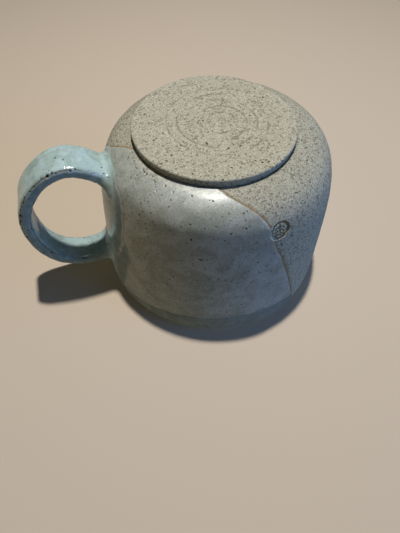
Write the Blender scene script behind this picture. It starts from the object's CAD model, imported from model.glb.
"""Hand-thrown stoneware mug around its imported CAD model.

The frame is the CAD model's: the mug stands upright on its foot at the origin, +Z up,
the handle towards +X. The main camera hangs below the mug, upside down, because the
mug is seen turned over on its rim. Shapes are worked out in millimetres, and written
to the meshes in metres.
"""
import math

import bpy
import numpy as np
from mathutils import Matrix, Vector


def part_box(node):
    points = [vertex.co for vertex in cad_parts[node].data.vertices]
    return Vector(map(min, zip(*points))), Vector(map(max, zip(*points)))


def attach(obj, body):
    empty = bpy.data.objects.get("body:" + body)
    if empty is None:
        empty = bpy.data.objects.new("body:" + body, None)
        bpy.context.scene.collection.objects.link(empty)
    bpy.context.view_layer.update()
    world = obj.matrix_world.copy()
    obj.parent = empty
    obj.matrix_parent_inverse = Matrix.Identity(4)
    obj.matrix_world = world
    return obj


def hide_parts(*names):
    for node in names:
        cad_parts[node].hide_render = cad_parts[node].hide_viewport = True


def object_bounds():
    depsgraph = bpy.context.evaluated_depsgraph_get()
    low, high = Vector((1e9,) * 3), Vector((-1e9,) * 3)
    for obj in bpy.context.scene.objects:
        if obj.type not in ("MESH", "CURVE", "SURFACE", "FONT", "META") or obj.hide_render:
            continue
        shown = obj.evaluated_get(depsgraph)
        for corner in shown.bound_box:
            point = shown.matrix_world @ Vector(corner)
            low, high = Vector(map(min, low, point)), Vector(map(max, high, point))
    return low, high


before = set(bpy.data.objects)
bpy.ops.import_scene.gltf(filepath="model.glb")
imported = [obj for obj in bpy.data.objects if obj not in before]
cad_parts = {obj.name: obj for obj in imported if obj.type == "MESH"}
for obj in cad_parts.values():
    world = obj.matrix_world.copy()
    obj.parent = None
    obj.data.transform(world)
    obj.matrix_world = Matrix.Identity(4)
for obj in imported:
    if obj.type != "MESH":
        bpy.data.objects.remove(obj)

cad_low, cad_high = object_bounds()
MM = 0.001

# ---------------- sizes, in millimetres

RIM_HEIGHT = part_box("rim_glaze")[1].z / MM
FOOT_RADIUS = (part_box("foot_disc")[1].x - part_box("foot_disc")[0].x) / MM / 2
STEP_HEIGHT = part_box("thrown_body")[0].z / MM
CLAY_RADIUS = 49.6
WALL = 4.1
GLAZE = 0.4
LIP_RADIUS = WALL / 2
LIP_CENTRE = (CLAY_RADIUS - LIP_RADIUS, RIM_HEIGHT - GLAZE - LIP_RADIUS)
FLOOR_HEIGHT = 8.0

# Clay outlines within a millimetre of the CAD model's: (radius, height)
OUTSIDE = [(30.0, STEP_HEIGHT), (40.5, 7.8), (45.6, 18.9), (47.6, 34.3), (48.9, 52.2)]
# The shoulder's slope in degrees where it leaves the foot
SHOULDER_SLOPE = 11.0
INSIDE = [(44.8, 52.2), (43.4, 36.0), (40.9, 21.5), (34.6, 12.0), (20.0, FLOOR_HEIGHT)]
STRAP_PATH = [
    (41.5, 14.5), (46.6, 9.3), (56.0, 5.0), (68.0, 10.3), (76.0, 23.5),
    (76.8, 36.5), (72.0, 49.5), (62.0, 56.2), (47.0, 54.0),
]
STRAP_WIDTH_LOW = 13.8
STRAP_WIDTH_HIGH = 12.4
STRAP_THICKNESS = 4.0
# Radius of the strap's rounded edges
STRAP_EDGE = 1.6

# The foot is a little off the axis, and trimmed a little flat at the front
FOOT_SHIFT = (0.72, 0.21)
FOOT_FLAT, FOOT_FLAT_AZIMUTH = 0.75, -66.0
# Radius of the rounding of the foot's lower edge
FOOT_EDGE = 0.7
# The trimming spiral: its centre, its pitch and half the width of its line
SPIRAL_CENTRE = (-2.3, 0.4)
SPIRAL_PITCH = 3.9
SPIRAL_LINE = 0.34

# The wall leans: its foot end lies this far to the side of its rim
LEAN = np.array([-0.96, -0.28]) * 0.95
# The bare side bulges a little
BARE_AZIMUTH = 196.0
BULGE = 0.4
# The dipped side is flattened above the shoulder: how deep, where, and how far it reaches
# down and up in millimetres and round in degrees
FLAT_DEPTH, FLAT_AZIMUTH, FLAT_HEIGHT = 1.8, -62.0, 18.0
FLAT_DOWN, FLAT_UP, FLAT_TURN = 8.8, 20, 45

# The side that was dipped in the pale glaze, and the handle side dipped in celadon
FRONT_AZIMUTH, FRONT_TILT, FRONT_DISTANCE = -41.0, 14.2, 26.4
HANDLE_AZIMUTH, HANDLE_DISTANCE = 16.3, 33.0
# How far the dip lines wander from straight, as (height, millimetres)
FRONT_WANDER = [
    (3.5, -0.9), (4.3, -0.4), (7, -0.7), (11, -0.4),
    (22, 1.1), (30, 0.6), (45, 0.0), (62, -0.7),
]
FRONT_FAR_WANDER = [
    (3.5, -1.4), (4.5, -0.9), (6.3, 0.0), (8, 0.3), (10, 0.0),
    (22, 1.1), (30, 0.6), (45, 0.0), (62, -0.7),
]
HANDLE_WANDER = [
    (7, 5.9), (8, 5.0), (9.2, 3.3), (11.5, 1.9), (13.5, 1.1), (17, 0.9),
    (23, 1.4), (30, 2.7), (34, 0.4), (38, 0.0), (52, 2.9), (64, 5.8),
]
# The celadon's lowest edge on the shoulder
HANDLE_SIDE_START = 7.4
# The rim band's depth below the rim, as (azimuth, millimetres)
RIM_BAND = [
    (-116, 8.0), (-109, 10.0), (-98, 10.9), (-68, 10.9), (-52, 9.2), (-34, 6.6), (-25, 5.7), (32, 5.8)
]
# How far the rim coat runs past the lip's crest, and the wall's coats run under it
PAST_CREST = 1.2
UNDER_BAND = 0.9
# How deep the coats' undersides lie in the clay
COAT_ROOT = 0.6

# The maker's mark, the wall's radius there, and how deep its pocket and its back lie
MARK_AZIMUTH, MARK_HEIGHT, MARK_RADIUS = -102.3, 14.2, 4.0
MARK_WALL_RADIUS = 44.0
MARK_POCKET = 1.4
MARK_BACK = 2.4

rng = np.random.default_rng(7)


# ---------------- curves and noise

def spline(points, start=None, end=None):
    """400 points on a smooth cubic curve through points; start and end are its end directions."""
    knots = np.array(points, float)
    at = np.r_[0, np.cumsum(np.linalg.norm(np.diff(knots, axis=0), axis=1))]
    step = np.diff(at)[:, None]
    chord = np.diff(knots, axis=0) / step
    size = len(knots)
    system, right = np.zeros((size, size)), np.zeros_like(knots)
    for i in range(1, size - 1):
        system[i, i - 1:i + 2] = step[i, 0], 2 * (step[i - 1, 0] + step[i, 0]), step[i - 1, 0]
        right[i] = 3 * (step[i] * chord[i - 1] + step[i - 1] * chord[i])
    for row, beside, direction, slope in ((0, 1, start, chord[0]), (-1, -2, end, chord[-1])):
        if direction is None:
            system[row, row], system[row, beside] = 2, 1
            right[row] = 3 * slope
        else:
            system[row, row] = 1
            right[row] = direction
    slopes = np.linalg.solve(system, right)
    along = np.linspace(0, at[-1], 400)
    i = np.clip(np.searchsorted(at, along) - 1, 0, size - 2)
    t = ((along - at[i]) / step[i, 0])[:, None]
    return (
        knots[i] * (1 + 2 * t) * (1 - t) ** 2
        + knots[i + 1] * t**2 * (3 - 2 * t)
        + step[i] * t * (1 - t) * (slopes[i] * (1 - t) - slopes[i + 1] * t)
    )


def through(table, x):
    """Smooth value at x of a table of (x, value) pairs."""
    keys, values = np.array(table, float).T
    x = np.clip(x, keys[0], keys[-1])
    i = np.clip(np.searchsorted(keys, x) - 1, 0, len(keys) - 2)
    t = (x - keys[i]) / (keys[i + 1] - keys[i])
    return values[i] + (values[i + 1] - values[i]) * t * t * (3 - 2 * t)


def waves(count, longest, shortest):
    """Random directions, pitches and phases for lumps()."""
    direction = rng.normal(size=(count, 3))
    direction /= np.linalg.norm(direction, axis=1)[:, None]
    pitch = np.exp(rng.uniform(np.log(shortest), np.log(longest), count))
    return direction * (2 * math.pi / pitch)[:, None], rng.uniform(0, 2 * math.pi, count)


def lumps(points, field):
    """Smooth random unevenness in about -1 to 1 at each point, from a sum of waves."""
    vectors, phases = field
    total = np.zeros(points.shape[:-1])
    for vector, phase in zip(vectors, phases):
        total += np.sin(points @ vector + phase)
    return total / math.sqrt(len(phases))


def smooth_step(x, low, high):
    """Smooth ramp from 0 at low to 1 at high."""
    t = np.clip((x - low) / (high - low), 0, 1)
    return t * t * (3 - 2 * t)


# ---------------- the clay surface

LIP_ANGLES = np.radians(np.linspace(0, 180, 25))[1:-1]
LIP = np.stack([
    LIP_CENTRE[0] + LIP_RADIUS * np.cos(LIP_ANGLES), LIP_CENTRE[1] + LIP_RADIUS * np.sin(LIP_ANGLES)
], 1)
SHOULDER_START = math.cos(math.radians(SHOULDER_SLOPE)), math.sin(math.radians(SHOULDER_SLOPE))
clay_path = np.concatenate([
    [(0.0, STEP_HEIGHT), (20.0, STEP_HEIGHT)],
    spline(OUTSIDE + [(CLAY_RADIUS, LIP_CENTRE[1])], SHOULDER_START, (0, 1)),
    LIP,
    spline([(CLAY_RADIUS - WALL, LIP_CENTRE[1])] + INSIDE, (0, -1), (-1, 0)),
    [(0.0, FLOOR_HEIGHT)],
])
clay_along = np.r_[0, np.cumsum(np.linalg.norm(np.diff(clay_path, axis=0), axis=1))]
clay_slope = np.gradient(clay_path, clay_along, axis=0)
clay_slope /= np.linalg.norm(clay_slope, axis=1)[:, None]
CREST = clay_along[np.argmax(clay_path[:, 1])]
WALL_START = clay_along[2]


def along_at_height(height):
    """Distance along the clay's outline at a height on the outside wall."""
    outer = (clay_along >= WALL_START) & (clay_along <= CREST)
    return np.interp(height, clay_path[outer, 1], clay_along[outer])


def along_at_radius(radius):
    """Distance along the clay's outline at a radius on the underside and shoulder."""
    outer = (clay_along <= CREST) & (clay_path[:, 0] < CLAY_RADIUS - 0.1)
    return np.interp(radius, clay_path[outer, 0], clay_along[outer])


def outline_at(along):
    """Radius, height and outward direction (radial, up) at distances along the outline."""
    r, z = (np.interp(along, clay_along, clay_path[:, k]) for k in (0, 1))
    dr, dz = (np.interp(along, clay_along, clay_slope[:, k]) for k in (0, 1))
    size = np.hypot(dr, dz)
    return r, z, dz / size, -dr / size


body_field = waves(24, 60, 18)
wall_field = waves(30, 14, 5)


def unevenness(theta, along, r, z):
    """How far the thrown surface stands out from a true turned one."""
    inside = smooth_step(along, CREST, CREST + 12)
    points = np.stack([r * np.cos(theta), r * np.sin(theta), z + 40 * inside], -1)
    round_out = BULGE * (1 + np.cos(theta - math.radians(BARE_AZIMUTH))) / 2
    turn = (np.degrees(theta) - FLAT_AZIMUTH + 180) % 360 - 180
    reach = np.where(z < FLAT_HEIGHT, FLAT_DOWN, FLAT_UP)
    flat = FLAT_DEPTH * np.exp(-(((z - FLAT_HEIGHT) / reach) ** 2) - (turn / FLAT_TURN) ** 2)
    round_out = round_out - flat * (1 - inside)
    # Throwing rings, 5 to 6 mm apart and strongest inside
    rings = (0.035 + 0.11 * inside) * np.sin(along * 2 * math.pi / (6.1 - inside) + theta)
    rings = rings * (0.6 + 0.4 * lumps(points, body_field))
    texture = 0.05 * lumps(points, body_field) + 0.02 * lumps(points, wall_field)
    away_from_axis = smooth_step(r, 0, 8)
    return (round_out + rings + texture) * away_from_axis


def mark_offsets(theta, along):
    """Millimetres across and up from the maker's mark's centre."""
    turn = (theta - math.radians(MARK_AZIMUTH) + math.pi) % (2 * math.pi) - math.pi
    return turn * MARK_WALL_RADIUS, along - along_at_height(MARK_HEIGHT)


def clay_surface(theta, along, lift=0.0):
    """Points on the clay at angles and distances along the outline, raised by lift."""
    theta, along, lift = np.broadcast_arrays(theta, along, lift)
    r, z, out, up = outline_at(along)
    height = unevenness(theta, along, r, z) + lift
    across, above = mark_offsets(theta, along)
    outside = along < CREST
    pocket = outside * (1 - smooth_step(np.hypot(across, above), MARK_RADIUS - 0.5, MARK_RADIUS))
    height = height - MARK_POCKET * pocket
    radius, level = r + height * out, z + height * up
    shift = np.clip(1 - level / RIM_HEIGHT, 0, 1)
    return np.stack([
        radius * np.cos(theta) + shift * LEAN[0], radius * np.sin(theta) + shift * LEAN[1], level
    ], -1)


# ---------------- meshes

def add_mesh(name, points, faces, values, slot, nodes):
    """A smooth mesh piece in metres, with named numbers on its points."""
    mesh = bpy.data.meshes.new(name)
    mesh.from_pydata((points * MM).tolist(), [], faces)
    mesh.validate()
    for key, numbers in values.items():
        layer = mesh.attributes.new(key, "FLOAT", "POINT")
        layer.data.foreach_set("value", np.ascontiguousarray(numbers, np.float32))
    mesh.polygons.foreach_set("use_smooth", np.ones(len(mesh.polygons), bool))
    piece = bpy.data.objects.new(name, mesh)
    bpy.context.scene.collection.objects.link(piece)
    piece.data.materials.append(materials[slot])
    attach(piece, "root")
    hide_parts(*nodes)


def grid_faces(rows, columns, start=0, flip=False, round_rows=False):
    """Quads of a grid whose points are numbered row by row; round_rows closes each row."""
    across = columns if round_rows else columns - 1
    i, j = np.meshgrid(np.arange(rows - 1), np.arange(across), indexing="ij")
    beside = (j + 1) % columns
    quads = np.stack([
        i * columns + j, i * columns + beside, (i + 1) * columns + beside, (i + 1) * columns + j
    ], -1).reshape(-1, 4) + start
    return (quads[:, ::-1] if flip else quads).tolist()


def turned_mesh(name, rows, values, slot, nodes):
    """Closed solid of revolution from rings of points; the first and last ring are poles."""
    inner = rows[1:-1]
    count, columns = inner.shape[:2]
    points = np.concatenate([inner.reshape(-1, 3), rows[0].mean(0)[None], rows[-1].mean(0)[None]])
    faces = grid_faces(count, columns, round_rows=True)
    first, last = count * columns, count * columns + 1
    ring = (count - 1) * columns
    for j in range(columns):
        k = (j + 1) % columns
        faces.append([first, k, j])
        faces.append([last, ring + j, ring + k])
    numbers = {
        key: np.r_[v[1:-1].ravel(), v[0].mean(), v[-1].mean()] for key, v in values.items()
    }
    add_mesh(name, points, faces, numbers, slot, nodes)


def shell_mesh(name, outer, inner, values, slot, nodes, round_rows=False):
    """Closed shell between an outer and an inner grid of points, joined along their edges."""
    rows, columns = outer.shape[:2]
    size = rows * columns
    index = np.arange(size).reshape(rows, columns)
    if round_rows:
        borders = [index[0], index[-1, ::-1]]
    else:
        borders = [
            np.concatenate([index[0, :-1], index[:-1, -1], index[-1, :0:-1], index[:0:-1, 0]])
        ]
    points = np.concatenate([outer.reshape(-1, 3), inner.reshape(-1, 3)])
    faces = grid_faces(rows, columns, round_rows=round_rows)
    faces += grid_faces(rows, columns, start=size, flip=True, round_rows=round_rows)
    for border in borders:
        for a, b in zip(border.tolist(), np.roll(border, -1).tolist()):
            faces.append([b, a, a + size, b + size])
    both = {key: np.r_[v.ravel(), v.ravel()] for key, v in values.items()}
    add_mesh(name, points, faces, both, slot, nodes)


# ---------------- materials

class Shader:
    """A small hand for writing node materials."""

    def __init__(self, name):
        self.material = bpy.data.materials.new(name)
        self.material.use_nodes = True
        self.tree = self.material.node_tree
        self.surface = self.tree.nodes["Principled BSDF"]
        self.place = self.node("ShaderNodeTexCoord").outputs["Object"]

    def node(self, kind, inputs=None, **settings):
        made = self.tree.nodes.new(kind)
        for key, value in settings.items():
            setattr(made, key, value)
        for key, value in (inputs or {}).items():
            self.put(made.inputs[key], value)
        return made

    def put(self, socket, value):
        if isinstance(value, bpy.types.NodeSocket):
            self.tree.links.new(value, socket)
        elif socket.type == "RGBA":
            socket.default_value = (*value, 1)
        else:
            socket.default_value = value

    def noise(self, size, detail=2.0, roughness=0.5, distortion=0.0):
        """Cloudy noise whose lumps are about size millimetres."""
        return self.node("ShaderNodeTexNoise", {
            "Vector": self.place, "Scale": 1 / (size * MM), "Detail": detail,
            "Roughness": roughness, "Distortion": distortion,
        }).outputs["Fac"]

    def cells(self, size):
        """Voronoi cells about size millimetres across."""
        return self.node("ShaderNodeTexVoronoi", {
            "Vector": self.place, "Scale": 1 / (size * MM),
        }).outputs

    def grain(self, size):
        """Random numbers, one set to each cell about size millimetres across."""
        return self.node("ShaderNodeSeparateColor", {0: self.cells(size)["Color"]}).outputs

    def math(self, operation, a, b):
        return self.node("ShaderNodeMath", {0: a, 1: b}, operation=operation).outputs[0]

    def times(self, value, share):
        return self.math("MULTIPLY", value, share)

    def step(self, value, low, high, smooth=True):
        """0 below low, 1 above high."""
        kind = "SMOOTHSTEP" if smooth else "LINEAR"
        return self.node("ShaderNodeMapRange", {
            "Value": value, "From Min": low, "From Max": high,
        }, interpolation_type=kind).outputs[0]

    def mix(self, factor, a, b):
        made = self.node("ShaderNodeMix", {"Factor": factor}, data_type="RGBA")
        self.put(made.inputs[6], a)
        self.put(made.inputs[7], b)
        return made.outputs[2]

    def number(self, name):
        """A number carried by the mesh's points."""
        return self.node("ShaderNodeAttribute", attribute_name=name).outputs["Fac"]

    def specks(self, size, share, spread):
        """Round specks in a share of the cells; spread is their radius over the cell size."""
        cell = self.cells(size)
        chosen = self.node("ShaderNodeSeparateColor", {0: cell["Color"]}).outputs[0]
        radius = self.times(self.step(chosen, 1 - share, 1.0, False), spread)
        return self.step(self.math("SUBTRACT", radius, cell["Distance"]), -0.02, 0.08)

    def bump(self, height, distance, strength):
        return self.node("ShaderNodeBump", {
            "Height": height, "Distance": distance * MM, "Strength": strength,
        }).outputs[0]

    def finish(self, colour, roughness, normal):
        self.put(self.surface.inputs["Base Color"], colour)
        self.put(self.surface.inputs["Roughness"], roughness)
        self.put(self.surface.inputs["Normal"], normal)
        return self.material


CLAY_DARKER, CLAY_LIGHTER = (0.515, 0.50, 0.39), (0.565, 0.55, 0.435)
PALE_DARKER, PALE_LIGHTER = (0.315, 0.335, 0.285), (0.435, 0.46, 0.425)
THIN_DARKER, THIN_LIGHTER = (0.195, 0.235, 0.215), (0.255, 0.30, 0.28)
THICK_DARKER, THICK_LIGHTER = (0.35, 0.47, 0.43), (0.47, 0.63, 0.645)


def clay_material():
    """Bare fired stoneware: sandy, matt, with iron specks and pale grog."""
    s = Shader("speckled_clay")
    grain = s.grain(0.42)
    colour = s.mix(s.step(s.noise(13, 3), 0.3, 0.7), CLAY_DARKER, CLAY_LIGHTER)
    colour = s.mix(s.times(grain[0], 0.50), colour, (0.19, 0.17, 0.11))
    grog = s.times(s.step(grain[1], 0.78, 0.92), 0.6)
    colour = s.mix(grog, colour, (0.66, 0.64, 0.52))
    colour = s.mix(s.times(s.specks(0.95, 0.8, 0.60), 0.62), colour, (0.115, 0.095, 0.055))
    fine = s.step(s.noise(0.46, 1, 0.5), 0.50, 0.66)
    colour = s.mix(s.times(fine, 0.62), colour, (0.165, 0.15, 0.095))
    iron = s.specks(2.2, 0.5, 0.23)
    colour = s.mix(iron, colour, (0.045, 0.035, 0.02))
    colour = s.mix(s.times(s.number("halo"), 0.9), colour, (0.27, 0.175, 0.07))
    colour = s.mix(s.number("dark"), colour, (0.035, 0.027, 0.018))
    height = s.math("SUBTRACT", s.noise(0.6, 2, 0.7), s.times(iron, 0.6))
    return s.finish(colour, 0.80, s.bump(height, 0.16, 0.8))


def pale_colour(s):
    """Cloudy pale blue-grey with the clay's grain showing through."""
    cloud = s.noise(8, 4, 0.6, 0.5)
    grain = s.grain(0.45)
    colour = s.mix(s.step(cloud, 0.34, 0.66), PALE_DARKER, PALE_LIGHTER)
    colour = s.mix(s.times(s.step(grain[0], 0.35, 0.0), 0.40), colour, (0.16, 0.165, 0.13))
    colour = s.mix(s.times(s.step(grain[1], 0.88, 0.96), 0.28), colour, (0.72, 0.73, 0.66))
    colour = s.mix(s.times(s.specks(1.2, 0.6, 0.38), 0.75), colour, (0.10, 0.10, 0.07))
    return colour, cloud


def pale_material():
    """Satin pale blue-grey glaze, thin enough for the clay's specks to show."""
    s = Shader("pale_glaze")
    colour, cloud = pale_colour(s)
    cream = s.times(s.step(s.noise(1.3, 2, 0.6), 0.42, 0.62), s.number("pool"))
    colour = s.mix(s.times(cream, 0.75), colour, (0.62, 0.60, 0.48))
    iron = s.specks(2.5, 0.5, 0.20)
    colour = s.mix(iron, colour, (0.02, 0.022, 0.015))
    line = s.math("ADD", s.number("edge"), s.times(s.noise(1.6, 3), 0.9))
    colour = s.mix(s.times(s.step(line, 1.2, 0.6), 0.8), colour, (0.30, 0.185, 0.085))
    colour = s.mix(s.number("pit"), colour, (0.015, 0.013, 0.010))
    rough = s.math("ADD", 0.29, s.times(cloud, 0.12))
    height = s.math("SUBTRACT", s.noise(0.9, 2, 0.6), s.times(iron, 1.2))
    return s.finish(colour, rough, s.bump(height, 0.05, 0.6))


def celadon_material():
    """Glossy celadon: grey-green where thin, clouded blue where thick, brown on worn edges."""
    s = Shader("celadon_glaze")
    cloud = s.noise(5.5, 4, 0.6, 0.9)
    mottle = s.noise(1.5, 3, 0.65)
    thin = s.mix(s.step(cloud, 0.36, 0.64), THIN_DARKER, THIN_LIGHTER)
    thick = s.mix(s.step(cloud, 0.36, 0.62), THICK_DARKER, THICK_LIGHTER)
    thick = s.mix(s.times(s.step(mottle, 0.52, 0.72), 0.6), thick, (0.64, 0.69, 0.62))
    colour = s.mix(s.number("thick"), thin, thick)
    colour = s.mix(s.number("pale"), colour, pale_colour(s)[0])
    wear = s.math("ADD", s.number("ridge"), s.times(s.math("SUBTRACT", mottle, 0.5), 1.3))
    colour = s.mix(s.times(s.step(wear, 0.62, 0.98), 0.8), colour, (0.15, 0.11, 0.065))
    colour = s.mix(s.times(s.specks(1.7, 0.35, 0.24), 0.55), colour, (0.10, 0.11, 0.07))
    iron = s.specks(4.0, 0.4, 0.15)
    colour = s.mix(iron, colour, (0.02, 0.022, 0.016))
    colour = s.mix(s.number("pit"), colour, (0.010, 0.010, 0.010))
    height = s.math("SUBTRACT", mottle, s.times(iron, 1.2))
    return s.finish(colour, 0.15, s.bump(height, 0.05, 0.4))


materials = {
    "speckled_clay": clay_material(),
    "pale_glaze": pale_material(),
    "celadon_glaze": celadon_material(),
}


# ---------------- thrown body and foot

def around(count):
    """Angles in radians round the whole turn."""
    return np.linspace(0, 2 * math.pi, count, endpoint=False)[None, :]


def spaced(start, end, pitch):
    """Even steps of about pitch from start to end."""
    return np.linspace(start, end, max(2, int((end - start) / pitch) + 1))


def make_body():
    """The thrown wall and floor; halo is the toasted line where the glaze ends."""
    along = spaced(0, clay_along[-1], 0.4)[:, None]
    theta = around(720)
    rows = clay_surface(theta, along)
    r, _, _, _ = outline_at(along)
    low, high = front_edges(np.minimum(along, CREST))
    middle = (low + high) / 2
    turn = (theta - middle + math.pi) % (2 * math.pi) - math.pi
    beyond = r * (np.abs(turn) - (high - low) / 2)
    width = 0.7 + 0.4 * lumps(rows, waves(14, 9, 3))
    halo = np.exp(-((np.maximum(beyond, 0) / np.maximum(width, 0.25)) ** 2)) * (along < CREST + 3)
    step = 1 - smooth_step(r, FOOT_RADIUS - 2, FOOT_RADIUS - 0.5)
    dark = 0.5 * step * (along < CREST) + 0.12 + 0 * theta
    values = {"halo": halo, "dark": dark}
    turned_mesh("thrown_body_clay", rows, values, "speckled_clay", ["thrown_body"])


def make_foot():
    """Low turned disc whose face carries the spiral left by the trimming tool."""
    quarter = np.radians(np.linspace(0, 90, 7))[1:]
    flat = spaced(0, FOOT_RADIUS - FOOT_EDGE, 0.22)
    side = spaced(FOOT_EDGE + 0.3, STEP_HEIGHT + 1.0, 0.3)
    radius = np.concatenate([
        flat, FOOT_RADIUS - FOOT_EDGE + FOOT_EDGE * np.sin(quarter),
        np.full(len(side), FOOT_RADIUS), [FOOT_RADIUS - 2, 0],
    ])[:, None]
    height = np.concatenate([
        np.zeros(len(flat)), FOOT_EDGE - FOOT_EDGE * np.cos(quarter), side, [side[-1], side[-1]]
    ])[:, None]
    theta = around(560)
    x, y = radius * np.cos(theta), radius * np.sin(theta)
    points = np.stack(np.broadcast_arrays(x, y, height), -1).copy()
    off_x, off_y = x - SPIRAL_CENTRE[0], y - SPIRAL_CENTRE[1]
    distance, angle = np.hypot(off_x, off_y), np.arctan2(off_y, off_x)
    turn = (distance / SPIRAL_PITCH - angle / (2 * math.pi)) % 1
    groove = np.exp(-((np.minimum(turn, 1 - turn) * SPIRAL_PITCH) / SPIRAL_LINE) ** 2)
    patchy = smooth_step(lumps(points, waves(12, 16, 6)), -0.9, 0.8)
    face = (height < 0.05) * smooth_step(radius, 0, 0.5)
    trace = groove * patchy * (1 - smooth_step(distance, 17, 24)) * face
    grain = 0.025 * (1 + lumps(points, waves(30, 2.5, 1.0))) * face
    points[..., 2] += 0.16 * trace + grain
    # The side leans in a little towards the step, and the disc is not quite round
    undercut = 0.014 * smooth_step(height, 0.4, STEP_HEIGHT) * (radius > FOOT_RADIUS - 3)
    trimmed = FOOT_FLAT * np.maximum(np.cos(theta - math.radians(FOOT_FLAT_AZIMUTH)), 0) ** 2
    points[..., :2] *= ((1 - undercut) * (1 - trimmed / FOOT_RADIUS))[..., None]
    points[..., :2] += FOOT_SHIFT
    values = {"dark": 0.30 * trace + 0.20 * smooth_step(height, 0.5, 1.4), "halo": 0.45 * trace}
    turned_mesh("foot_disc_clay", points, values, "speckled_clay", ["foot_disc"])


# ---------------- glaze coats on the wall

# Pinholes in the pale coat beside the foot, as (azimuth, distance from the axis, radius)
SHOULDER_PITS = [
    (-22, 33.2, 0.42), (-26, 33.6, 0.50), (-30, 33.0, 0.34), (-34, 34.0, 0.38), (-41, 33.4, 0.44),
    (-47, 34.4, 0.30), (-18, 34.5, 0.34), (-12, 33.8, 0.40), (-58, 33.8, 0.32), (-8, 35.4, 0.30),
    (-38, 36.2, 0.30), (-70, 34.6, 0.30), (-82, 34.2, 0.36), (-5, 33.0, 0.34), (-90, 36.5, 0.40),
]


def dip_edges(radius, height, azimuth, tilt, distance):
    """The two angles, in radians, where the wall passes through a dip's surface."""
    tilt = math.radians(tilt)
    share = (distance - height * math.sin(tilt)) / (radius * math.cos(tilt))
    half = np.arccos(np.clip(share, -1, 1))
    return math.radians(azimuth) - half, math.radians(azimuth) + half


def front_edges(along):
    """The pale dip's near and far free edges, as angles."""
    r, z, _, _ = outline_at(along)
    near_distance = FRONT_DISTANCE + through(FRONT_WANDER, z)
    far_distance = FRONT_DISTANCE + through(FRONT_FAR_WANDER, z)
    near = dip_edges(r, z, FRONT_AZIMUTH, FRONT_TILT, near_distance)[0]
    far = dip_edges(r, z, FRONT_AZIMUTH, FRONT_TILT, far_distance)[1]
    return near, far


def handle_edge(along):
    """The handle-side dip's near edge, as an angle."""
    r, z, _, _ = outline_at(along)
    return dip_edges(r, z, HANDLE_AZIMUTH, 0, HANDLE_DISTANCE + through(HANDLE_WANDER, z))[0]


def rim_band_start(theta):
    """Distance along the outline of the rim band's lower edge."""
    depth = through(RIM_BAND, np.degrees(theta))
    return along_at_height(RIM_HEIGHT - depth)


def rolled(distance, thickness, sunk=0.25, bead=0.03):
    """Coat thickness near a free edge: it rises out of the clay and rolls into a bead."""
    rise = 1 - np.exp(-np.maximum(distance, 0) / 0.4)
    roll = bead * np.exp(-(((distance - 0.9) / 0.7) ** 2))
    return -sunk + (thickness + sunk) * rise + roll


def coat(name, theta, along, values, thickness, slot, nodes):
    """A coat over a grid of angles and distances along the outline."""
    outer = clay_surface(theta, along, thickness)
    inner = clay_surface(theta, along, -COAT_ROOT)
    shell_mesh(name, outer, inner, values, slot, nodes)


def make_front_coat():
    """The pale dip, between its free edges and under the celadon."""
    rows, columns = 190, 300
    # Points crowd towards the free edges and the foot
    across = np.linspace(0, 1, columns)[None, :]
    across = across - 0.4 * np.sin(2 * math.pi * across) / (2 * math.pi)
    upward = np.linspace(0, 1, rows)[:, None] ** 1.3
    start = along_at_radius(FOOT_RADIUS - 0.5)
    theta = np.full((rows, columns), math.radians(-60.0))
    for _ in range(4):
        along = start + (rim_band_start(theta) + UNDER_BAND - start) * upward
        low, high = front_edges(along)
        theta = low + (high - low) * across
    r, z, _, _ = outline_at(along)
    free = np.minimum(r * (theta - low), r * (high - theta))
    points = clay_surface(theta, along)
    edge = free + 0.25 * lumps(points, waves(14, 7, 2.5)) * smooth_step(free, 0, 0.3)
    pit = np.zeros((rows, columns))
    for azimuth, radius, size in SHOULDER_PITS:
        centre = clay_surface(math.radians(azimuth), along_at_radius(radius))
        away = np.linalg.norm(points - centre, axis=-1)
        pit = np.maximum(pit, 1 - smooth_step(away, size * 0.5, size))
    pool = 1 - smooth_step(r, FOOT_RADIUS + 1, FOOT_RADIUS + 5)
    values = {"edge": edge, "pit": pit, "pool": pool}
    lift = rolled(free, 0.34) - 0.25 * pit
    coat("front_glaze_coat", theta, along, values, lift, "pale_glaze", ["front_glaze"])


def make_handle_side_coat():
    """Celadon on the wall around the handle's roots, lapping over the pale coat."""
    rows, columns = 190, 150
    start = along_at_height(HANDLE_SIDE_START)
    across = np.linspace(0, 1, columns)[None, :]
    upward = np.linspace(0, 1, rows)[:, None]
    theta = np.zeros((rows, columns))
    for _ in range(4):
        along = start + (rim_band_start(theta) + UNDER_BAND - start) * upward
        low, high = handle_edge(along), front_edges(along)[1]
        theta = low + (high - low) * across
    r, z, _, _ = outline_at(along)
    near, far = r * (theta - low), r * (high - theta)
    over_pale = np.minimum(near, along - start)
    lift = np.minimum(rolled(over_pale, 0.50, sunk=-0.2, bead=0.0), rolled(far, 0.55))
    near_handle = 1 - smooth_step(np.abs(theta) * r - 6.5, 0, 9) * smooth_step(z, 4, 10)
    values = {"thick": 0.8 * near_handle, "pale": 1 - smooth_step(over_pale, 0.2, 2.4)}
    coat(
        "handle_side_glaze_coat", theta, along, values, lift, "celadon_glaze", ["handle_side_glaze"]
    )


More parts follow.
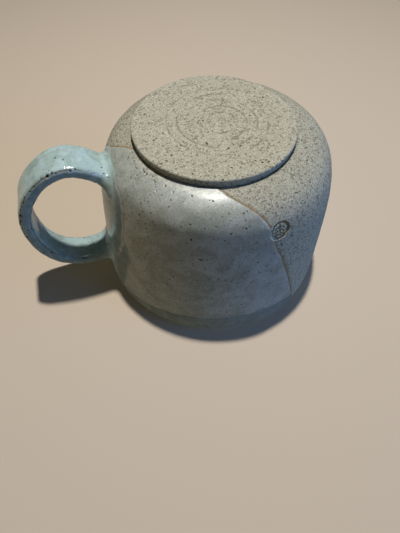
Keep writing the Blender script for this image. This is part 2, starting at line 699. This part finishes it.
def make_rim_coat():
    """The second dip at the rim: a darker band that runs over the lip."""
    rows, columns = 64, 330
    across = np.linspace(0, 1, columns)[None, :]
    inward = np.linspace(0, 1, rows)[:, None]
    theta = np.full((rows, columns), math.radians(-40.0))
    for _ in range(4):
        start = rim_band_start(theta)
        along = start + (CREST + PAST_CREST - start) * inward
        low, high = front_edges(np.minimum(along, CREST - 1))
        theta = low + (high - low) * across
    r, _, _, _ = outline_at(along)
    sides = np.minimum(r * (theta - low), r * (high - theta))
    band = along - start
    lift = np.minimum(rolled(band, 0.55, sunk=-0.15, bead=0.04), rolled(sides, 0.55))
    lift = np.minimum(lift, 0.2 + rolled(CREST + PAST_CREST - along, 0.4))
    values = {"pale": 0.5 * (1 - smooth_step(band, 0, 1.2))}
    coat("rim_glaze_coat", theta, along, values, lift, "celadon_glaze", ["rim_glaze"])


def make_liner():
    """The poured inside glaze, from the crest of the lip to the middle of the floor."""
    theta = around(560)
    wander = 0.35 * np.sin(3 * theta + 1) + 0.25 * np.sin(7 * theta + 2)
    wander = wander + 0.15 * np.sin(13 * theta)
    start = CREST - 0.9 + wander
    inward = np.r_[spaced(0, 3, 0.15), spaced(3.3, clay_along[-1] - CREST, 0.5)][:, None]
    along = np.minimum(start + inward, clay_along[-1])
    outer = clay_surface(theta, along, rolled(inward, 0.38))
    inner = clay_surface(theta, along, -COAT_ROOT)[::-1]
    top = clay_surface(theta, start, -COAT_ROOT)
    rows = np.concatenate([inner, top, outer])
    values = {"thick": np.full(rows.shape[:2], 0.5)}
    turned_mesh("liner_glaze_coat", rows, values, "celadon_glaze", ["liner_glaze"])


# ---------------- handle

# Radius of the fillets at the strap's roots, and of those next to the foot
FILLET = 4.6
FILLET_AT_FOOT = 2.4
# How far the coat at the strap's roots lies above the clay wall
COAT_LEVEL = 0.45
# Thickness of the strap's coat, which laps into its clay
STRAP_COAT = 0.75
# How far the strap's path runs on into the wall, in so many steps
BURIED = 6.0
BURIED_STEPS = 19
# Rows of points on the wall beyond each root, and rows of the strap that are blended there
SKIRT_ROWS = 20
BLENDED_ROWS = 70
# How deep the skirt's free edge lies in the wall
SKIRT_SINK = 0.9
# Rows from each end where the wear of the strap's edges begins, and where it is in full
WORN_ROWS = (40, 90)
SCATTERED_PITS = 90
# Pinholes burst along the near outer edge, as (share of the way from the foot end, radius)
EDGE_PITS = [
    (0.14, 0.34), (0.185, 0.22), (0.215, 0.50), (0.235, 0.26), (0.275, 0.24),
    (0.30, 0.30), (0.335, 0.24), (0.36, 0.34), (0.40, 0.22), (0.425, 0.44),
    (0.455, 0.36), (0.47, 0.52), (0.50, 0.36), (0.53, 0.28),
]


def nearest_on(path_across, path_up, across, up):
    """Index of the path's nearest point, for points given by two coordinates."""
    nearest = np.full(across.shape, 1e9)
    found = np.zeros(across.shape, int)
    for i in range(len(path_across)):
        square = (across - path_across[i]) ** 2 + (up - path_up[i]) ** 2
        closer = square < nearest
        nearest[closer] = square[closer]
        found[closer] = i
    return found


def wall_field_at(points):
    """Distance outside the clay wall, and the direction away from it."""
    shift = np.clip(1 - points[..., 2] / RIM_HEIGHT, 0, 1)
    x, y = points[..., 0] - shift * LEAN[0], points[..., 1] - shift * LEAN[1]
    radius = np.hypot(x, y)
    r, z, out, up = outline_at(np.linspace(WALL_START - 6, CREST, 420))
    found = nearest_on(r, z, radius, points[..., 2])
    away = (radius - r[found]) * out[found] + (points[..., 2] - z[found]) * up[found]
    return away, np.stack([out[found] * x / radius, out[found] * y / radius, up[found]], -1)


class Strap:
    """The ring-shaped strap: a rounded flat section carried along its path."""

    def __init__(self, growth):
        path = spline(STRAP_PATH)
        tangent = np.gradient(path, axis=0)
        tangent /= np.linalg.norm(tangent, axis=1)[:, None]
        extra = np.linspace(BURIED, 0, BURIED_STEPS + 1)[:-1, None]
        path = np.concatenate([
            path[0] - tangent[0] * extra, path, path[-1] + tangent[-1] * extra[::-1]
        ])
        tangent = np.concatenate([
            np.repeat(tangent[:1], BURIED_STEPS, 0), tangent, np.repeat(tangent[-1:], BURIED_STEPS, 0)
        ])
        zero = np.zeros(len(path))
        self.path = np.stack([path[:, 0], zero, path[:, 1]], -1)
        self.side = np.stack([tangent[:, 1], zero, -tangent[:, 0]], -1)
        if ((self.path - self.path.mean(0)) * self.side).sum() < 0:
            self.side = -self.side
        share = np.linspace(0, 1, len(path))
        width = STRAP_WIDTH_LOW + (STRAP_WIDTH_HIGH - STRAP_WIDTH_LOW) * share
        self.round = STRAP_EDGE + growth
        self.flat_across = width / 2 + growth - self.round
        self.flat_out = STRAP_THICKNESS / 2 + growth - self.round

    def rings(self, columns):
        """Rings of points round the section, and the directions that they face."""
        straight = 2 * (self.flat_across + self.flat_out)[:, None]
        total = 2 * straight + 2 * math.pi * self.round
        walk = (np.arange(columns) / columns)[None, :] * total
        across, out, face_across, face_out = (np.zeros(walk.shape) for _ in range(4))
        wide = self.flat_across[:, None]
        thick = np.full(wide.shape, self.flat_out)
        begin = 0.0
        for k in range(4):
            turn = k * math.pi / 2
            flat, other = (wide, thick) if k % 2 == 0 else (thick, wide)
            for length, straight_run in ((2 * flat, True), (math.pi / 2 * self.round, False)):
                here = (walk >= begin - 1e-9) & (walk < begin + length + 1e-9)
                t = walk - begin
                if straight_run:
                    x, y, angle = t - flat, other + self.round + 0 * t, math.pi / 2 + 0 * t
                else:
                    angle = math.pi / 2 - t / self.round
                    x, y = flat + self.round * np.cos(angle), other + self.round * np.sin(angle)
                c, d = math.cos(turn), math.sin(turn)
                turned = (x * c + y * d, y * c - x * d, np.cos(angle - turn), np.sin(angle - turn))
                for target, value in zip((across, out, face_across, face_out), turned):
                    target[here] = value[here]
                begin = begin + length
        sideways = np.array([0.0, 1.0, 0.0])
        points = self.path[:, None] + self.side[:, None] * out[..., None]
        return points + sideways * across[..., None], face_across, face_out

    def field_at(self, points):
        """Distance outside the strap, and the direction away from it."""
        found = nearest_on(self.path[:, 0], self.path[:, 2], points[..., 0], points[..., 2])
        side = self.side[found]
        out = ((points - self.path[found]) * side).sum(-1)
        across = points[..., 1]
        over_across = np.abs(across) - self.flat_across[found]
        over_out = np.abs(out) - self.flat_out
        past_across, past_out = np.maximum(over_across, 0), np.maximum(over_out, 0)
        corner = np.hypot(past_across, past_out)
        away = corner + np.minimum(np.maximum(over_across, over_out), 0) - self.round
        outside, size = corner > 1e-6, np.maximum(corner, 1e-6)
        share_across = np.where(outside, past_across / size, over_across > over_out)
        share_out = np.where(outside, past_out / size, over_across <= over_out)
        direction = side * (share_out * np.sign(out))[..., None]
        direction[..., 1] += share_across * np.sign(across)
        return away, direction


def blended(points, strap, level):
    """Moves points onto the strap and the wall joined by a fillet, tighter near the foot."""
    for _ in range(5):
        above_foot = smooth_step(points[..., 2], 6, 13)
        fillet = FILLET_AT_FOOT + (FILLET - FILLET_AT_FOOT) * above_foot
        from_strap, g_strap = strap.field_at(points)
        from_wall, g_wall = wall_field_at(points)
        from_wall = from_wall - level
        h = np.clip(0.5 + 0.5 * (from_wall - from_strap) / fillet, 0, 1)
        value = from_wall * (1 - h) + from_strap * h - fillet * h * (1 - h)
        gradient = g_wall * (1 - h)[..., None] + g_strap * h[..., None]
        size = np.maximum((gradient**2).sum(-1), 0.2)
        points = points - gradient * (value / size)[..., None]
    return points


def resampled(rings, values, away, depth, rows):
    """Each line along the strap between the places where it goes depth under the wall."""
    count, columns = away.shape
    place, third = np.arange(count), count // 4
    result = np.zeros((rows, columns, rings.shape[-1]))
    kept = [np.zeros((rows, columns)) for _ in values]
    for j in range(columns):
        first = np.interp(-depth, away[:third, j], place[:third])
        last = count - 1 - np.interp(-depth, away[-third:, j][::-1], place[:third])
        wanted = np.linspace(first, last, rows)
        for k in range(rings.shape[-1]):
            result[:, j, k] = np.interp(wanted, place, rings[:, j, k])
        for store, value in zip(kept, values):
            store[:, j] = np.interp(wanted, place, value[:, j])
    return result, kept


def skirt(crease, strap, level, reach, rows):
    """Points on the wall leading away from the strap's crease line."""
    _, g_strap = strap.field_at(crease)
    _, g_wall = wall_field_at(crease)
    lead = g_strap - g_wall * (g_strap * g_wall).sum(-1)[..., None]
    lead /= np.maximum(np.linalg.norm(lead, axis=-1), 1e-6)[..., None]
    points = crease[None] + lead[None] * np.linspace(reach / rows, reach, rows)[:, None, None]
    for _ in range(3):
        away, g_wall = wall_field_at(points)
        points = points - g_wall * (away - level)[..., None]
    return points


def joined_strap(growth, level, columns, rows, reach, skirt_rows):
    """Grid from wall to wall round the strap, with filleted roots.

    With it come how sharply the strap turns at each point, and how free of the wall it is.
    """
    strap = Strap(growth)
    rings, face_across, face_out = strap.rings(columns)
    away, _ = wall_field_at(rings)
    faces = [np.abs(face_across), np.abs(face_out)]
    points, (across, out) = resampled(rings, faces, away - level, 0, rows)
    first = skirt(points[0], strap, level, reach, skirt_rows)[::-1]
    last = skirt(points[-1], strap, level, reach, skirt_rows)
    grid = np.concatenate([first, points, last])
    zero = np.zeros((skirt_rows, columns))
    corner = np.concatenate([zero, np.exp(-(((across - out) / 0.36) ** 2)), zero])
    root = skirt_rows + BLENDED_ROWS
    grid[:root] = blended(grid[:root], strap, level)
    grid[-root:] = blended(grid[-root:], strap, level)
    sink = smooth_step(np.arange(len(grid)), skirt_rows * 0.55, 0)
    sink = np.maximum(sink, sink[::-1])[:, None]
    _, g_wall = wall_field_at(grid)
    return grid - g_wall * (SKIRT_SINK * sink)[..., None], corner, 1 - sink


def grid_normals(grid):
    """Outward directions of a grid that closes round its columns."""
    along = np.gradient(grid, axis=0)
    wrapped = np.concatenate([grid[:, -1:], grid, grid[:, :1]], 1)
    round_it = (wrapped[:, 2:] - wrapped[:, :-2]) / 2
    normal = np.cross(along, round_it)
    normal /= np.maximum(np.linalg.norm(normal, axis=-1), 1e-9)[..., None]
    middle = grid[len(grid) // 2]
    if ((middle - middle.mean(0)) * normal[len(grid) // 2]).sum() < 0:
        normal = -normal
    return normal


def with_caps(rings):
    """Adds a point at each end, so that a tube is closed."""
    first = np.broadcast_to(rings[0].mean(0), rings[:1].shape)
    last = np.broadcast_to(rings[-1].mean(0), rings[-1:].shape)
    return np.concatenate([first, rings, last])


def ring_rows(rows, low, high):
    """Ramp along the strap from 0 at row low to 1 at row high."""
    return smooth_step(np.arange(rows), low, high)[:, None]


def handle_pits(grid, open_edge, near_edge):
    """Centres and radii of the glaze's pits: a row on the near edge, then scattered ones."""
    rows = len(grid)
    pits = []
    for share, size in EDGE_PITS:
        row = int(SKIRT_ROWS + share * (rows - 2 * SKIRT_ROWS))
        wobble = rng.integers(-2, 3)
        pits.append((grid[row, near_edge + wobble], 1.45 * size))
    flat = grid.reshape(-1, 3)
    weights = (open_edge + 0.03).ravel()
    chance = weights / weights.sum()
    for index in rng.choice(weights.size, SCATTERED_PITS, replace=False, p=chance):
        pits.append((flat[index], rng.uniform(0.2, 0.5)))
    return pits


def make_handle():
    """The glazed strap with pinholes along its edges, the clay inside it and its joins."""
    grid, corner, free = joined_strap(GLAZE, COAT_LEVEL, 156, 520, FILLET + 1.4, SKIRT_ROWS)
    normal = grid_normals(grid)
    uneven = 0.09 * lumps(grid, waves(20, 22, 8)) + 0.03 * lumps(grid, waves(24, 6, 2.5))
    rows = len(grid)
    begin, full = WORN_ROWS
    open_edge = corner * ring_rows(rows, begin, full) * ring_rows(rows, rows - begin, rows - full)
    middle = grid[rows // 2]
    near_outside = (middle[:, 1] < 0) & (middle[:, 0] > middle[:, 0].mean())
    near_edge = np.argmax(corner[rows // 2] * near_outside)
    pit, dent = np.zeros(corner.shape), np.zeros(corner.shape)
    for centre, size in handle_pits(grid, open_edge, near_edge):
        away = np.linalg.norm(grid - centre, axis=-1)
        pit = np.maximum(pit, 1 - smooth_step(away, size * 0.6, size))
        dent += 0.5 * size * np.exp(-((away / (size * 0.8)) ** 2))
        dent -= 0.08 * size * np.exp(-(((away - size * 1.6) / (size * 0.5)) ** 2))
    outer = grid + normal * ((uneven - dent) * free)[..., None]
    inner = grid - normal * STRAP_COAT
    sides = np.abs(normal[..., 1]) * ring_rows(rows, 20, 80)
    values = {"ridge": open_edge, "pit": pit, "thick": 1 - 0.6 * sides**2}
    shell_mesh(
        "handle_glaze_coat", outer, inner, values, "celadon_glaze", ["handle_glaze"], round_rows=True
    )

    rings, _, _ = Strap(-0.15).rings(64)
    away, _ = wall_field_at(rings)
    rings, _ = resampled(rings, [], away, 1.0, 220)
    turned_mesh("handle_strap_clay", with_caps(rings), {}, "speckled_clay", ["handle_strap"])
    collar, _, _ = joined_strap(0.0, 0.0, 72, 180, FILLET - 1, 10)
    for name, root in (("handle_join_lower", collar[:24]), ("handle_join_upper", collar[-24:])):
        turned_mesh(name + "_clay", with_caps(root), {}, "speckled_clay", [name])


# ---------------- maker's mark

def sprig(x, y):
    """Lines of a plain leaf sprig that are pressed into the pad, 0 to 1."""
    def stroke(x0, y0, x1, y1, width):
        dx, dy = x1 - x0, y1 - y0
        t = np.clip(((x - x0) * dx + (y - y0) * dy) / (dx * dx + dy * dy), 0, 1)
        return 1 - smooth_step(np.hypot(x - x0 - t * dx, y - y0 - t * dy), width * 0.6, width * 1.3)

    width = 0.22
    lines = stroke(0, -2.6, 0, 2.4, width)
    for height in (-1.4, 0.0, 1.4):
        for side in (-1, 1):
            vein = stroke(0, height - 0.5, side * 1.7, height + 0.7, width)
            lines = np.maximum(lines, vein)
    return lines


def make_mark():
    """Stamped pad low on the wall: a sunk round field, a groove round it and a leaf sprig."""
    radius = np.r_[0, spaced(0.1, MARK_RADIUS + 0.55, 0.1)][:, None]
    theta = around(170)
    x, y = radius * np.cos(theta), radius * np.sin(theta)
    leaf = sprig(x, y)
    groove = np.exp(-(((radius - MARK_RADIUS + 0.55) / 0.42) ** 2)) + 0 * theta
    inside = 1 - smooth_step(radius, MARK_RADIUS - 0.35, MARK_RADIUS - 0.05)
    outside = smooth_step(radius, MARK_RADIUS + 0.1, MARK_RADIUS + 0.55)
    raised = 0.15 * np.exp(-(((radius - MARK_RADIUS - 0.1) / 0.25) ** 2))
    lift = (-0.12 - 0.40 * leaf) * inside - 0.65 * groove + raised - 0.25 * outside
    dark = np.clip(1.15 * groove + 0.92 * leaf * inside, 0.08, 0.96)
    angle = math.radians(MARK_AZIMUTH) + x / MARK_WALL_RADIUS
    along = along_at_height(MARK_HEIGHT) + y
    pocket = MARK_POCKET * (1 - smooth_step(radius, MARK_RADIUS - 0.5, MARK_RADIUS))
    front = clay_surface(angle, along, lift + pocket)
    back = clay_surface(angle, along, pocket - MARK_BACK)[::-1]
    rows = np.concatenate([back, front])
    dark = np.concatenate([0 * dark[::-1], dark])
    turned_mesh("maker_mark_pad", rows, {"dark": dark}, "speckled_clay", ["maker_mark"])


make_body()
make_foot()
make_front_coat()
make_handle_side_coat()
make_rim_coat()
make_liner()
make_handle()
make_mark()


# ---------------- camera, stage and light

CAMERA_PLACE = Vector((0.0401, -0.1178, -0.0926))
CAMERA_YAW, CAMERA_PITCH, CAMERA_ROLL = 106.3, 56.5, 0.43
# Focal length over the sensor's width
FOCAL_SHARE = 0.7505
# Where the lights aim, in metres right, up and back from the camera
MUG_FROM_CAMERA = (0.0, 0.02, -0.18)
FLOOR_HALF = 4.0
# How far the floors lie outside the CAD model's box
FLOOR_GAP = 0.0004
PALE_FLOOR = (0.68, 0.575, 0.45)
# The way up from the table, seen from the camera
TABLE_UP = (0, 0.552, 0.834)


def make_camera():
    """Looks up at the mug from below, upside down, so that the turned mug shows as it lies."""
    yaw, pitch = math.radians(CAMERA_YAW), math.radians(CAMERA_PITCH)
    ahead = Vector((
        math.cos(yaw) * math.cos(pitch), math.sin(yaw) * math.cos(pitch), math.sin(pitch)
    ))
    right = ahead.cross(Vector((0, 0, -1))).normalized()
    up = right.cross(ahead)
    turn = Matrix.Rotation(math.radians(CAMERA_ROLL), 3, -ahead)
    axes = Matrix((turn @ right, turn @ up, -ahead)).transposed()
    data = bpy.data.cameras.new("camera")
    data.sensor_width = 36
    data.lens = FOCAL_SHARE * 36
    data.clip_start, data.clip_end = 0.005, 20
    camera = bpy.data.objects.new("camera", data)
    camera.matrix_world = Matrix.Translation(CAMERA_PLACE) @ axes.to_4x4()
    bpy.context.scene.collection.objects.link(camera)
    bpy.context.scene.camera = camera
    return camera


def make_light(camera, name, place, size, power, colour, only, facing):
    """Round area light carried by the camera; place is metres right, up and back from it.

    It faces the mug, or the way that facing says. It shows as both shading and gloss, or,
    if only says so, as "diffuse" or "gloss" alone.
    """
    data = bpy.data.lights.new(name, "AREA")
    data.shape = "DISK"
    data.size, data.energy, data.color = size, power, colour
    light = bpy.data.objects.new(name, data)
    towards = -Vector(facing) if facing else Vector(place) - Vector(MUG_FROM_CAMERA)
    light.rotation_mode = "QUATERNION"
    light.rotation_quaternion = towards.to_track_quat("Z", "Y")
    light.location = place
    light.parent = camera
    light.visible_camera = False
    light.visible_diffuse = only != "gloss"
    light.visible_glossy = only != "diffuse"
    bpy.context.scene.collection.objects.link(light)


def stage_material(name, colour, only_through):
    """Matt floor seen from its front only, and, if only_through, only past another floor."""
    s = Shader(name)
    s.put(s.surface.inputs["Base Color"], colour)
    s.put(s.surface.inputs["Roughness"], 0.9)
    s.put(s.surface.inputs["Specular IOR Level"], 0.1)
    hidden = s.node("ShaderNodeNewGeometry").outputs["Backfacing"]
    if only_through:
        floors_passed = s.node("ShaderNodeLightPath").outputs["Transparent Depth"]
        hidden = s.math("MAXIMUM", hidden, s.math("LESS_THAN", floors_passed, 0.5))
    clear = s.node("ShaderNodeBsdfTransparent").outputs[0]
    shown = s.node("ShaderNodeMixShader", {0: hidden, 1: s.surface.outputs[0], 2: clear})
    s.tree.links.new(shown.outputs[0], s.tree.nodes["Material Output"].inputs[0])
    return s.material


def make_floor(name, height, facing_up, colour, only_through):
    """A wide one-sided floor that casts nothing back on the mug."""
    square = (-1, -1), (1, -1), (1, 1), (-1, 1)
    corners = [(x * FLOOR_HALF, y * FLOOR_HALF, height) for x, y in square]
    mesh = bpy.data.meshes.new(name)
    mesh.from_pydata(corners, [], [(0, 1, 2, 3) if facing_up else (3, 2, 1, 0)])
    mesh.materials.append(stage_material(name, colour, only_through))
    floor = bpy.data.objects.new(name, mesh)
    bpy.context.scene.collection.objects.link(floor)
    floor.visible_diffuse = floor.visible_glossy = floor.visible_shadow = False


camera = make_camera()
# The mug stands on one floor in the upright views; the other lies against its rim for the
# main view
make_floor("floor_under_foot", -FLOOR_GAP, True, PALE_FLOOR, False)
make_floor("floor_at_rim", cad_high.z + FLOOR_GAP, False, PALE_FLOOR, True)

# A lamp overhead, a blue window low on the right, light thrown back by the floor from
# the front and both sides, and two panels that show only as gloss: a bright one overhead
# and the sheen of the table
for name, place, size, power, colour, only, facing in (
    ("lamp", (0.014, 0.443, 0.286), 0.03, 3.2, (1.0, 0.965, 0.92), None, None),
    ("window", (0.722, -0.095, 0.104), 0.6, 3.0, (0.17, 0.43, 1.0), None, None),
    ("floor_front", (-0.015, -0.150, -0.163), 0.2, 0.030, (1.0, 0.88, 0.66), "diffuse", None),
    ("floor_left", (-0.50, -0.25, -0.33), 0.3, 0.70, (1.0, 0.84, 0.62), "diffuse", None),
    ("floor_right", (0.50, -0.25, -0.33), 0.3, 0.40, (1.0, 0.88, 0.72), "diffuse", None),
    ("panel", (0.0, 0.724, 0.507), 0.6, 2.4, (0.80, 0.93, 1.0), "gloss", None),
    ("table_sheen", (-0.345, 0.195, -0.384), 0.7, 0.40, (1.0, 0.82, 0.60), "gloss", TABLE_UP),
):
    make_light(camera, name, place, size, power, colour, only, facing)

world = bpy.data.worlds.new("studio")
world.use_nodes = True
background = world.node_tree.nodes["Background"].inputs
background["Color"].default_value = (1.0, 0.88, 0.68, 1)
background["Strength"].default_value = 0.045
bpy.context.scene.world = world
bpy.context.scene.view_settings.view_transform = "Standard"
